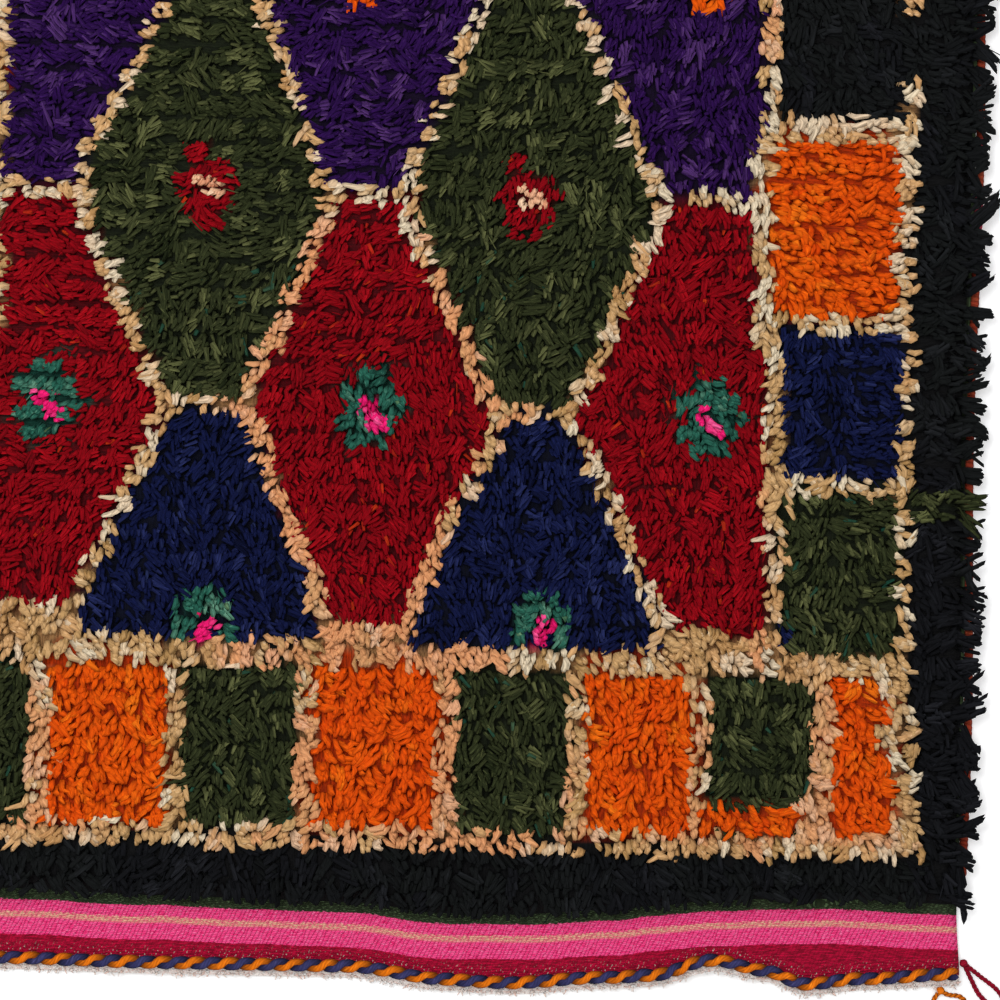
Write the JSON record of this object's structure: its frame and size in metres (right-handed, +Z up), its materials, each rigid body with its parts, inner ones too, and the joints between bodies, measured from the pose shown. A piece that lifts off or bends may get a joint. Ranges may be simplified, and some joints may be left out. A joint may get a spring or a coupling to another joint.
{
  "type": "tulu rug",
  "caption": "Small long-pile wool rug lying flat: a diamond lattice field inside a border of squares, with striped plain-woven ends, twined edge cords and loose corner yarns.",
  "frame": {"origin": "under the middle of the rug, on the surface it lies on", "axes": "+X across the rug, +Y along it towards the far end, +Z up out of the pile"},
  "size_m": [0.9777, 1.2323, 0.0192],
  "materials": {
    "ground_wool": "weft-faced plain weave in pink, dark red and dark green wool with a pale stripe",
    "hem_wool": "undyed fuzzy wool, folded hem",
    "cord_wool": "twined two-colour wool cord, orange and navy",
    "selvage_wool": "overcast brown-red wool",
    "weft_wool": "loose dark red wool yarn",
    "pile_red": "long knotted wool pile, deep red",
    "pile_green": "long knotted wool pile, dark olive green",
    "pile_navy": "long knotted wool pile, navy",
    "pile_purple": "long knotted wool pile, purple",
    "pile_orange": "long knotted wool pile, bright orange",
    "pile_cream": "long knotted wool pile, undyed cream to peach",
    "pile_black": "long knotted wool pile, black",
    "pile_accent": "long knotted wool pile, teal and hot pink flower knots"
  },
  "bodies": {
    "root": {"ground_cloth": "ground_wool", "pile": "pile_red", "selvage_left": "selvage_wool", "selvage_right": "selvage_wool", "end_cord_near": "cord_wool", "end_cord_far": "cord_wool", "weft_ends_near_left": "weft_wool", "weft_ends_near_right": "weft_wool", "weft_ends_far_left": "weft_wool", "weft_ends_far_right": "weft_wool", "cord_ends_near_left": "cord_wool", "cord_ends_near_right": "cord_wool", "cord_ends_far_left": "cord_wool", "cord_ends_far_right": "cord_wool"}
  },
  "joints": []
}
